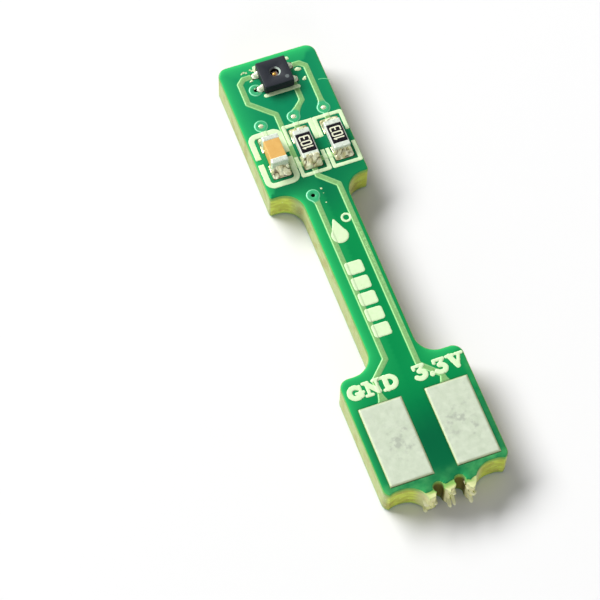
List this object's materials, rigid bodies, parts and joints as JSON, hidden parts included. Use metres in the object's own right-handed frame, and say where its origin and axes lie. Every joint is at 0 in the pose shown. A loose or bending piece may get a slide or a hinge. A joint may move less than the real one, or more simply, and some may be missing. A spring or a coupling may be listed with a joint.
{
  "type": "temperature humidity sensor module",
  "caption": "Dog-bone circuit board with a temperature and humidity sensor at its head and solder pads on both faces of its tail.",
  "frame": {"origin": "under the middle of the board's length and width, in the plane of the back solder pads' faces, which it rests on", "axes": "+Z out of the component side, +Y along the board towards the sensor head, +X across it to the right when the sensor is up and the component side faces the viewer"},
  "size_m": [0.006, 0.025, 0.0025],
  "materials": {
    "alumina": "white alumina",
    "capacitor_ceramic": "tan fired ceramic",
    "copper": "bare copper",
    "end_metal": "matt tinned end",
    "laminate": "cut glass-fibre epoxy edge, yellow-green",
    "lead_metal": "tinned lead frame",
    "legend_ink": "matt pale legend ink",
    "overcoat": "near-black overcoat",
    "sensor_gold": "gold coloured sensing element",
    "sensor_mould": "dark moulding compound",
    "solder": "bright solder with some flux",
    "solder_mask": "glossy green solder mask",
    "tin": "hot-air-levelled tin, softly mottled"
  },
  "bodies": {
    "root": {"board_core": "laminate", "capacitor_ceramic": "capacitor_ceramic", "capacitor_end_lower": "end_metal", "capacitor_end_upper": "end_metal", "capacitor_solder_lower": "solder", "capacitor_solder_upper": "solder", "clock_copper_back": "copper", "clock_copper_front": "copper", "clock_resistor_ceramic": "alumina", "clock_resistor_end_lower": "end_metal", "clock_resistor_end_upper": "end_metal", "clock_resistor_overcoat": "overcoat", "clock_resistor_solder_lower": "solder", "clock_resistor_solder_upper": "solder", "data_copper_back": "copper", "data_copper_front": "copper", "data_resistor_ceramic": "alumina", "data_resistor_end_lower": "end_metal", "data_resistor_end_upper": "end_metal", "data_resistor_overcoat": "overcoat", "data_resistor_solder_lower": "solder", "data_resistor_solder_upper": "solder", "ground_copper_back": "copper", "ground_copper_front": "copper", "legend_back": "legend_ink", "legend_front": "legend_ink", "sensor_body": "sensor_mould", "sensor_die_pad": "lead_metal", "sensor_element": "sensor_gold", "sensor_solder_clock": "solder", "sensor_solder_data": "solder", "sensor_solder_ground": "solder", "sensor_solder_supply": "solder", "sensor_terminal_clock": "lead_metal", "sensor_terminal_data": "lead_metal", "sensor_terminal_ground": "lead_metal", "sensor_terminal_supply": "lead_metal", "solder_mask_back": "solder_mask", "solder_mask_front": "solder_mask", "supply_copper_front": "copper", "tin_pad_clock": "tin", "tin_pad_data": "tin", "tin_pad_ground": "tin", "tin_pad_supply": "tin", "via_barrel_capacitor_ground": "copper", "via_barrel_clock": "copper", "via_barrel_data": "copper", "via_barrel_neck_ground": "copper", "via_barrel_sensor_ground": "copper", "via_solder_beads": "solder"}
  },
  "joints": []
}
